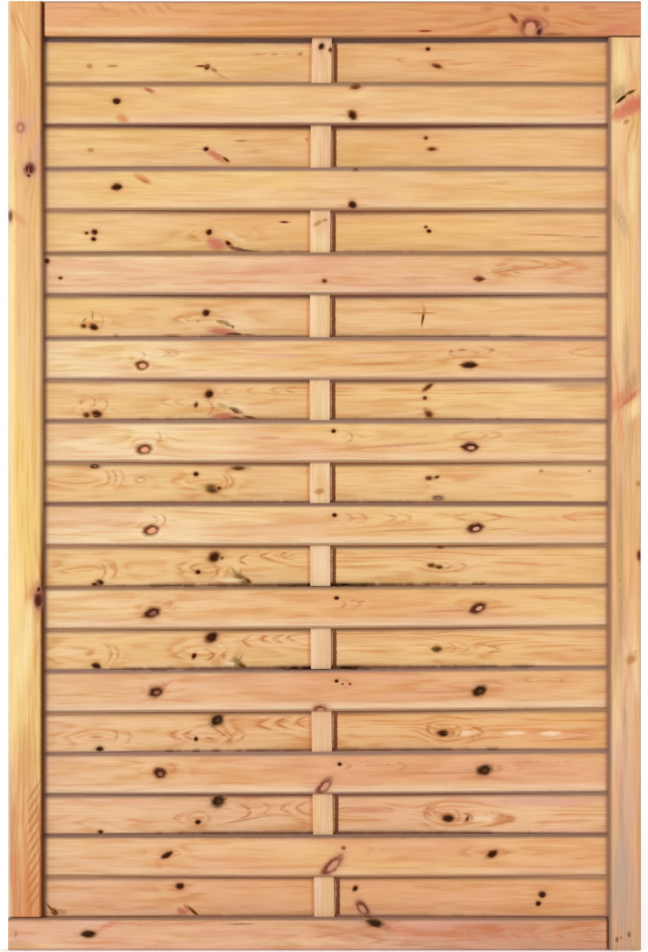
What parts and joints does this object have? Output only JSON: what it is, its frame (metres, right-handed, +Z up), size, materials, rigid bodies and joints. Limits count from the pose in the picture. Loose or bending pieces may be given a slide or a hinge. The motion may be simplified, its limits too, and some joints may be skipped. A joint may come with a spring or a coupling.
{
  "type": "woven timber fence panel",
  "caption": "Framed softwood fence panel with thin horizontal slats woven in front of and behind one upright centre batten.",
  "frame": {"origin": "on the outer face of the left stile, at half the panel's height and half the frame's depth", "axes": "+X along the panel from the left stile to the right one, +Z up, and -Y the way the front faces"},
  "size_m": [1.2, 0.045, 1.8],
  "materials": {
    "stile_pine": "planed, untreated, yellowish pine with a pale outer edge and a few dark knots",
    "rail_pine": "planed, untreated, amber to pinkish pine",
    "batten_pine": "planed, untreated, pale straight-grained softwood",
    "front_slat_pine": "planed, untreated, rosy pine with round knots",
    "rear_slat_pine": "planed, untreated, golden pine with clustered knots and resin streaks"
  },
  "bodies": {
    "root": {"left_stile": "stile_pine", "right_stile": "stile_pine", "top_rail": "rail_pine", "bottom_rail": "rail_pine", "centre_batten": "batten_pine", "slat_01": "rear_slat_pine", "slat_02": "front_slat_pine", "slat_03": "rear_slat_pine", "slat_04": "front_slat_pine", "slat_05": "rear_slat_pine", "slat_06": "front_slat_pine", "slat_07": "rear_slat_pine", "slat_08": "front_slat_pine", "slat_09": "rear_slat_pine", "slat_10": "front_slat_pine", "slat_11": "rear_slat_pine", "slat_12": "front_slat_pine", "slat_13": "rear_slat_pine", "slat_14": "front_slat_pine", "slat_15": "rear_slat_pine", "slat_16": "front_slat_pine", "slat_17": "rear_slat_pine", "slat_18": "front_slat_pine", "slat_19": "rear_slat_pine", "slat_20": "front_slat_pine", "slat_21": "rear_slat_pine"}
  },
  "joints": []
}
